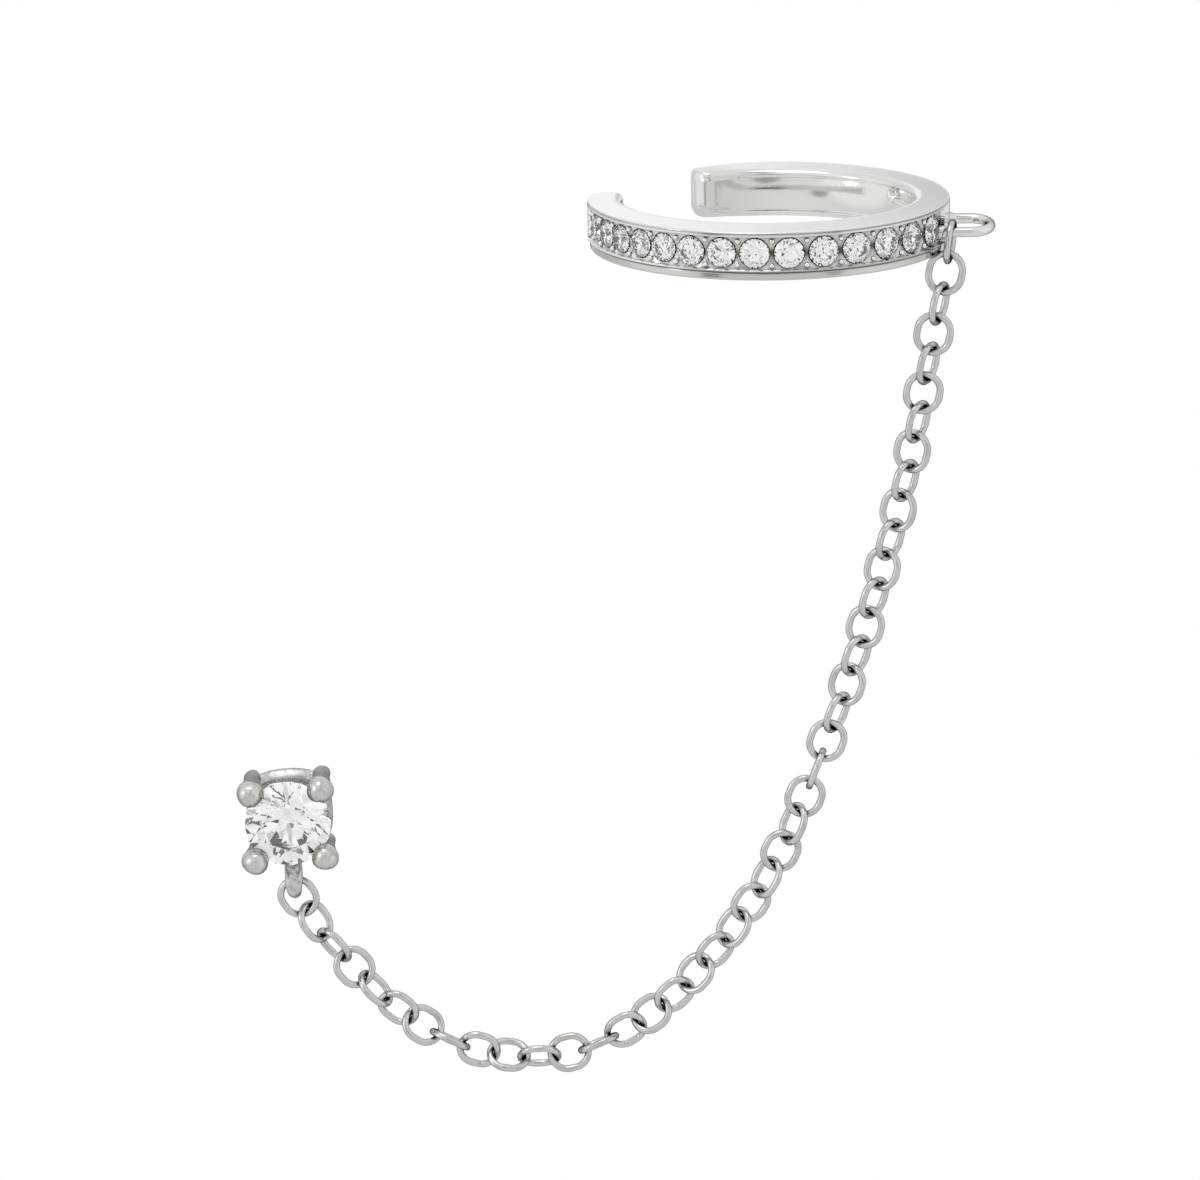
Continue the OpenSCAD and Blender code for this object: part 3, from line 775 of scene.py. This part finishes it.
def section_dark(a, height, part, near):
    """How much painted shade each point gets, by its run of the section. The rounded end of the back arm has one
    value.
    """
    dark = band_shade(a, height) * np.isin(part, OUTSIDE) * (1 - near)
    dark += top_shade(a) * np.isin(part, TOP) * (1 - near)
    dark = np.maximum(dark, wall_shade(a) * np.isin(part, INSIDE))
    return np.maximum(dark, BACK_SHADE * near * np.isin(part, OUTSIDE + TOP + INSIDE))


def band_section():
    """Radius, height and painted shade of every point, one row a station: up the outside, in over the top, down
    the inside and back under the bottom. Near an arm's end the section draws in by a quarter circle."""
    a = ARC
    arc = a * CUFF_R
    from_front, from_back = arc - arc[0] + HALF_LEAST, arc[-1] - arc + HALF_LEAST
    r_out, r_in = outer_r(a), opening_r(a)
    pad = (r_out[-1] - r_in[-1]) / 2
    draw = np.maximum(quarter_inset(from_front, FRONT_ROUND), quarter_inset(from_back, pad) * 0.985)
    front_edge = quarter_inset(from_front, FRONT_EDGE)
    top = CUFF_H - np.maximum(front_edge, quarter_inset(from_back, TOP_ROUND))
    low = np.maximum(front_edge, quarter_inset(from_back, LOW_ROUND))
    near = ease((2.2 - from_back) / 1.6)
    r_out, r_in = r_out - draw, r_in + draw
    half = (r_out - r_in) / 2 - HALF_LEAST
    fit = lambda start, end: np.minimum(start + (end - start) * near, half)
    outer_top = fit(OUTER_EDGE + 0.09 * ease((np.degrees(a) + 10) / 60), TOP_ROUND)
    outer_low, inner_top = fit(OUTER_EDGE, LOW_ROUND), fit(INNER_EDGE, TOP_ROUND)
    inner_low = fit(INNER_EDGE, LOW_ROUND)
    step = STEP_DEEP * (1 - near)
    side = line(low + outer_low, top - outer_top, (SIDE_Z - 0.05) / 1.5)
    cut = np.minimum((1 - near)[:, None] * outer_depth(a[:, None], side), (r_out - r_in)[:, None] * 0.8)
    wall = line(top - inner_top, low + inner_low, np.linspace(0.03, 0.97, 26))
    barrel = BARREL * ((wall / CUFF_H - 0.5) * 2) ** 2 * (1 - near)[:, None] - BARREL_BACK
    over, under = np.linspace(0.1, 0.9, 7), np.linspace(0.1, 0.9, 6)
    parts = [
        corner(r_out - step, low, outer_low, "top", 5, -1, 1),
        (r_out[:, None] - cut, side),
        corner(r_out, top, outer_top, "side", 5, -1, -1),
        (line(r_out - outer_top, r_in + inner_top, over), np.repeat(top[:, None], len(over), 1)),
        corner(r_in, top, inner_top, "top", 8, 1, -1),
        (r_in[:, None] + barrel + inner_depth(a[:, None], wall), wall),
        corner(r_in, low, inner_low, "side", 8, 1, 1),
        (line(r_in + inner_low, r_out - step - outer_low, under), np.repeat(low[:, None], len(under), 1)),
    ]
    radius, height = np.hstack([p[0] for p in parts]), np.hstack([p[1] for p in parts])
    part = np.repeat(np.arange(len(parts)), [p[0].shape[1] for p in parts])
    return radius, height, section_dark(a[:, None], height, part, near[:, None])


BAND_R, BAND_Z, BAND_DARK = band_section()
print("points in one section:", BAND_R.shape[1])

# %% [markdown]
# Small beads of metal, raised with a graver, hold the row's stones, and a few fill the channel's plain end.
# They could be ready-made spheres, but as points in the band's own mesh they are one metal with it.

# %% Beads
BEAD_AT = (np.append(ROW_AT[0] * 2 - ROW_AT[1], ROW_AT[:-1]) + ROW_AT) / 2
BEAD_R, BEAD_UP, BEAD_OUT = 0.092, 0.4, 0.012
END_BEADS = [(-173.6, 0.0), (-175.2, 0.33), (-175.0, -0.34), (-177.0, 0.1), (-177.4, -0.22), (-177.2, 0.4)]
END_BEAD_R, END_BEAD_OUT = 0.1, 0.02


def small_ball(centre, radius, rows=7, around=12):
    """A ball from rings of latitude, closed at both poles."""
    up = np.linspace(-np.pi / 2, np.pi / 2, rows + 2)[1:-1, None]
    t = np.linspace(0, 2 * np.pi, around, endpoint=False)[None]
    ring = np.stack([np.cos(up) * np.cos(t), np.cos(up) * np.sin(t), np.sin(up) + 0 * t], -1) * radius
    return np.vstack([ring.reshape(-1, 3), [[0, 0, -radius], [0, 0, radius]]]) + centre


def ball_faces(start, rows=7, around=12):
    """The grid between the rings, and a fan to each pole."""
    first = np.arange(around) + start
    last = first + (rows - 1) * around
    south = start + rows * around
    fans = [fan_faces(first, south, turned=True), fan_faces(last, south + 1)]
    return [grid_faces(rows, around, start=start), *fans]


def bead_places():
    """Radius, direction, height and size of each bead: two beside every stone, with sizes that vary by a slow
    sine, and then the end beads."""
    for i, direction in enumerate(np.radians(BEAD_AT)):
        for side in (-1, 1):
            z = ROW_Z + side * (BEAD_UP + 0.012 * math.sin(2.4 * i))
            yield CUFF_R - CHANNEL_DEEP + BEAD_OUT, direction, z, BEAD_R + 0.006 * math.sin(1.7 * i + side)
    for degrees, above in END_BEADS:
        direction = math.radians(degrees)
        yield outer_r(np.radians(degrees)) - CHANNEL_DEEP + END_BEAD_OUT, direction, ROW_Z + above, END_BEAD_R


print("beads:", len(list(bead_places())))

# %% [markdown]
# Band and beads are one polished piece, so they become one mesh: the section at every station of the arc, and
# then the balls. Each point takes its painted shade along.

# %% The band
def carry_dark(piece, dark):
    """Writes each point's painted shade on the piece, where the metal reads it."""
    piece.data.attributes.new("dark", "FLOAT", "POINT").data.foreach_set("value", dark)


def make_band():
    """The section swept round the cuff's centre, and then the beads."""
    a = ARC[:, None]
    points, faces = [], []
    add_shell(points, faces, np.stack([BAND_R * np.cos(a), BAND_R * np.sin(a), BAND_Z], -1))
    for r, direction, z, radius in bead_places():
        start = so_many(points)
        points.append(small_ball(np.array([r * math.cos(direction), r * math.sin(direction), z]), radius))
        faces += ball_faces(start)
    points = np.vstack(points)
    band = make_piece("cuff_metal", points + CUFF_AT, faces, BAND_METAL, "cuff_band")
    dark = np.zeros(len(points), np.float32)
    dark[:BAND_DARK.size] = BAND_DARK.ravel()
    carry_dark(band, dark)


make_band()

# %% [markdown]
# The chain's upper end hangs in a long U of wire, soldered to the band's side, where solder draws up round
# each leg. A bevelled curve could make it too, but a tube of rings can widen to that cone.

# %% The side loop
LOOP_OUT, LOOP_WIRE_R, LOOP_HALF, LOOP_LEAN = 1.45, 0.165, 0.65, math.radians(8.7)
LOOP_FROM, LOOP_Y, LOOP_Z = 5.4, -1.25, 0.78
CONE_WIDER, CONE_REACH = 0.075, 0.09
LEG_STEPS, TURN_STEPS = 22, 26


def tube(path, radius, around, normal):
    """Rings round a path: each is a circle square to the path's direction, measured between the points before
    and after, and spanned by a fixed normal and the sideways direction."""
    ahead = unit(np.gradient(path, axis=0))
    side = unit(np.cross(ahead, normal))
    over = np.cross(side, ahead)
    turn = np.linspace(0, 2 * np.pi, around, endpoint=False)
    r = np.broadcast_to(radius, path.shape[:1])[:, None, None]
    return path[:, None] + r * (np.cos(turn)[:, None] * side[:, None] + np.sin(turn)[:, None] * over[:, None])


def side_loop():
    """Wire out along the front leg, round a half circle and back along the rear leg. It widens towards the
    band by an exponential of the distance."""
    reach, half = CUFF_R + LOOP_OUT - LOOP_WIRE_R - LOOP_HALF, LOOP_HALF
    legs = np.linspace(LOOP_FROM, reach, LEG_STEPS)
    turn = np.linspace(-np.pi / 2, np.pi / 2, TURN_STEPS)[1:-1]
    x = np.concatenate([legs, reach + half * np.cos(turn), legs[::-1]])
    y = np.concatenate([np.full(LEG_STEPS, -half), half * np.sin(turn), np.full(LEG_STEPS, half)])
    path = np.stack([x, y * math.cos(LOOP_LEAN) + LOOP_Y, y * math.sin(LOOP_LEAN) + LOOP_Z], 1)
    root = np.sqrt(np.maximum(CUFF_R**2 - path[:, 1] ** 2, 0))
    cone = CONE_WIDER * np.exp(-np.maximum(x - root, 0) / CONE_REACH) * (x < reach)
    return tube(path, LOOP_WIRE_R + cone, 20, np.array([0, -math.sin(LOOP_LEAN), math.cos(LOOP_LEAN)]))


loop_points, loop_faces = [], []
add_shell(loop_points, loop_faces, side_loop())
make_piece("side_loop", np.vstack(loop_points) + CUFF_AT, loop_faces, LOOP_METAL)

# %% [markdown]
# The stud is cast in one basket: prongs, rail, two crossed bars, an eyelet and the post. It could be modelled
# by hand, but every part is a profile round a straight axis or a section round a circle.

# %% Turned and swept forms
def turned(profile, base, way, around=40, uneven=0.0, phase=0.0):
    """A turned form: rings round a straight axis, from pairs of distance along it and radius. Uneven adds
    three low waves round it, as casting leaves them."""
    way = unit(np.asarray(way, float))
    side = unit(np.cross(way, [0.3, 0.2, 0.9] if abs(way[2]) < 0.9 else [1, 0, 0]))
    over = np.cross(way, side)
    t = np.linspace(0, 2 * np.pi, around, endpoint=False)[None, :, None]
    along, r = profile[:, 0, None, None], profile[:, 1, None, None]
    r = r * (1 + uneven * np.sin(3 * t + phase + 2 * along))
    return np.asarray(base, float) + along * way + r * (np.cos(t) * side - np.sin(t) * over)


def ring_of(section, middle_r, centre, flat_axis, around=96):
    """A ring round the X or Y axis from a section of outward and sideways offsets. The one round Y is a little
    square, with its corners at the prongs: the cubes of its two coordinates add up to one."""
    u = np.linspace(0, 2 * np.pi, around, endpoint=False)[:, None]
    square = 1 if flat_axis == "x" else (np.abs(np.cos(u)) ** 3 + np.abs(np.sin(u)) ** 3) ** (-1 / 3)
    r, w = middle_r * square + section[None, :, 0], section[None, :, 1] + 0 * u
    a, b = r * np.cos(u), r * np.sin(u)
    order = (w, a, b) if flat_axis == "x" else (a, w, b)
    return np.stack(order, -1) + np.asarray(centre, float)


def soft_square(half_out, half_side, power, count=28):
    """A rounded rectangle: sine and cosine raised to a small power fill out its corners."""
    t = np.linspace(0, 2 * np.pi, count, endpoint=False)
    shape = lambda v: np.sign(v) * np.abs(v) ** power
    return np.stack([half_out * shape(np.cos(t)), half_side * shape(np.sin(t))], 1)


def bar(r, length):
    """The profile of a straight bar, a trace thinner at both ends."""
    return np.array([[0, 0.98], [0.25, 1], [0.5, 1], [0.75, 1], [1, 0.98]]) * [length, r]


print("points in a rounded square section:", len(soft_square(1, 1, 0.7)))

# %% [markdown]
# A prong is a shaft whose tip was burnished to a ball over the stone. A boolean would leave a hard line
# between them, so a soft maximum of the two radii makes the neck.

# %% The setting's sizes
STUD_R, GIRDLE, GIRDLE_HALF = 1.45, 2.0, 0.0435
CROWN_H, CROWN_W, PAVILION_H = 0.3, 0.44, 0.86
PRONG_AT, PRONG_R, PRONG_SWELL, BALL_R = 1.66, 0.28, 0.12, 0.42
BALL_AT = GIRDLE + CROWN_H * STUD_R - BALL_R / 3
NECK = 14
RAIL_R, RAIL_Y, BAR_R = 1.24, -0.44, 0.18
RAIL_TURN = np.array([[0.72, 0.69], [-0.69, 0.72]])
FOOT = np.array([[-0.15, 0.4], [-0.13, 0.56], [-0.05, 0.6], [0.26, 0.6], [0.33, 0.58], [0.36, 0.52]])
POST_R, POST_LENGTH, POST_LEAN = 0.4, 9.8, math.radians(12)
EYELET_R, EYELET_AT, EYELET_THIN = 0.47, (0, -1.0, -2.25), 0.42
TURN = math.radians(3)


def prong_profile():
    """A rounded foot, a shaft that swells towards the front, and the ball: the logarithm of the sum of both
    radii's exponentials follows the larger one."""
    foot = PRONG_R * (1 - np.cos(np.linspace(0.08, np.pi / 2, 8)))
    tip = BALL_AT - BALL_R * np.cos(np.linspace(0.75, np.pi - 0.06, 24))
    along = np.concatenate([foot, np.linspace(0.34, 1.8, 14), tip])
    rounded = np.sqrt(np.clip(1 - np.clip(1 - along / PRONG_R, 0, 1) ** 2, 0, 1))
    shaft = rounded * (PRONG_R + PRONG_SWELL * ease((along - 0.7) / 1.5)) * (along < BALL_AT)
    ball = np.sqrt(np.clip(BALL_R**2 - (along - BALL_AT) ** 2, 0, None))
    r = np.log(np.exp(NECK * shaft) + np.exp(NECK * ball) - 1) / NECK
    return np.stack([along, np.maximum(np.where(along > BALL_AT, ball, r), 0.01)], 1)


def post_profile():
    """The ear post: a straight shaft that starts inside its foot and ends in half a ball."""
    tip = FOOT[-1, 0] + POST_LENGTH - POST_R
    shaft = [[t, POST_R] for t in np.linspace(0.3, tip, 12)]
    end = [[tip + POST_R * math.sin(t), POST_R * math.cos(t)] for t in np.linspace(0.2, 1.5, 8)]
    return np.vstack([[[0.1, POST_R]], shaft, end])


print("prong from foot to tip:", round(prong_profile()[-1, 0], 2), "mm")

# %% [markdown]
# The parts go to their places and pass into each other. They could be cut to fit, but the next step melts
# them together anyway.

# %% The parts of the setting
def setting_parts():
    """Points and faces of all parts, one shell after the other. The eyelet's ring narrows downwards by the
    square of the depth, as it was filed."""
    points, faces = [], []
    for k in range(4):
        a = math.radians(45 + 90 * k)
        x, z = PRONG_AT * math.cos(a), PRONG_AT * math.sin(a)
        add_shell(points, faces, turned(prong_profile(), [x, 0, z], [0, -1, 0], 40, 0.035, k * 1.9))
        if k < 2:
            across = [math.cos(a), 0, math.sin(a)]
            add_shell(points, faces, turned(bar(BAR_R, 2 * PRONG_AT), [-x, RAIL_Y, -z], across, 20))
    lean = [-math.sin(POST_LEAN) * math.sin(TURN), math.cos(POST_LEAN), -math.sin(POST_LEAN) * math.cos(TURN)]
    for profile in (FOOT, post_profile()):
        add_shell(points, faces, turned(profile, [0, RAIL_Y, 0], lean, 40))
    add_shell(points, faces, turned(bar(0.29, 0.85), [0, -0.95, -1.95], [0, 0.3, 0.8], 32))
    for section, r, centre, axis in (
        (soft_square(0.25, 0.12, 0.7) @ RAIL_TURN, RAIL_R, [0, RAIL_Y, 0], "y"),
        (soft_square(0.17, 0.29, 1.0), EYELET_R, EYELET_AT, "x"),
    ):
        start = so_many(points)
        rings = ring_of(section, r, centre, axis)
        if axis == "x":
            rings[..., 0] *= 1 - EYELET_THIN * np.clip((-2.15 - rings[..., 2]) / 0.74, 0, 1) ** 2
        points.append(rings.reshape(-1, 3))
        quads = grid_faces(rings.shape[0], rings.shape[1], True, True, start)
        faces.append(quads[:, ::-1] if axis == "x" else quads)
    return np.vstack(points), faces


setting_points, setting_faces = setting_parts()
print("points before soldering:", len(setting_points))

# %% [markdown]
# Solder and polishing leave no sharp inner corners. A bevel can't find them where many forms meet, so a fine
# voxel grid melts the parts into one skin, a light smoothing polishes it, and then the seat is cut.

# %% Soldering and the stone's seat
GRAIN, POLISH_ROUNDS = 0.045, 3


def melted(points, faces, grain, polish):
    """The shells joined into one skin by a voxel grid, then smoothed: each round moves every point half way to
    the middle of its neighbours."""
    mesh = bpy.data.meshes.new("parts")
    mesh.from_pydata(points.tolist(), [], as_list(faces))
    parts = bpy.data.objects.new("parts", mesh)
    bpy.context.scene.collection.objects.link(parts)
    solder = parts.modifiers.new("solder", "REMESH")
    solder.mode, solder.voxel_size = "VOXEL", grain
    wheel = parts.modifiers.new("wheel", "SMOOTH")
    wheel.factor, wheel.iterations = 0.5, polish
    skin = bpy.data.meshes.new_from_object(parts.evaluated_get(bpy.context.evaluated_depsgraph_get()))
    joined = np.empty(len(skin.vertices) * 3)
    skin.vertices.foreach_get("co", joined)
    corners = np.empty(len(skin.loops), int)
    skin.loops.foreach_get("vertex_index", corners)
    bpy.data.objects.remove(parts)
    bpy.data.meshes.remove(skin)
    return joined.reshape(-1, 3), [corners.reshape(-1, 4)]


def cut_seat(points, gap=0.02):
    """Points inside the stone's room move out of it: over the crown in front of the girdle, and sideways
    behind it. Crown and pavilion are straight lines from the girdle."""
    out = np.hypot(points[:, 0], points[:, 2])
    front = -points[:, 1] - GIRDLE
    edge = GIRDLE_HALF
    crown = edge + np.clip((STUD_R - out) / (STUD_R * CROWN_W), 0, 1) * CROWN_H * STUD_R + gap
    room = (STUD_R + gap) * np.clip(1 + (front + edge) / (PAVILION_H * STUD_R + gap), 0, 1)
    above = (out < STUD_R + gap) & (front > -edge) & (front < crown)
    push = np.where((front <= -edge) & (out < room), room / np.maximum(out, 1e-6), 1)
    moved = points.copy()
    moved[above, 1] = -GIRDLE - crown[above]
    moved[:, 0] *= push
    moved[:, 2] *= push
    return moved


skin_points, skin_faces = melted(setting_points, setting_faces, GRAIN, POLISH_ROUNDS)
print("points of the skin:", len(skin_points))

# %% [markdown]
# The finished stud sits turned by three degrees. Its rail gets painted shade between the prongs. That could be
# a second material, but a shade by formula fades out softly.

# %% The stud
# Strength of the painted shade on the rail between the prongs.
RAIL_SHADE = 0.28


def rail_shade(points):
    """How much painted shade the rail gets: a window in depth and radius, times a soft step in the angle from
    the nearest prong."""
    out = np.hypot(points[:, 0], points[:, 2])
    from_prong = np.abs(np.degrees(np.arctan2(points[:, 2], points[:, 0])) % 90 - 45)
    on_rail = between(points[:, 1], RAIL_Y - 0.4, RAIL_Y + 0.3, 0.1) * between(out, 0.95, 1.6, 0.05)
    return RAIL_SHADE * on_rail * ease((from_prong - 12) / 8)


def make_setting():
    """The skin with its seat cut, turned about the stud's own axis."""
    points = cut_seat(skin_points)
    c, s = math.cos(TURN), math.sin(TURN)
    dark = rail_shade(points).astype(np.float32)
    points = points @ np.array([[c, 0, s], [0, 1, 0], [-s, 0, c]])
    stud = make_piece("stud_metal", points, skin_faces, CAST_METAL, "stud_setting")
    carry_dark(stud, dark)


make_setting()
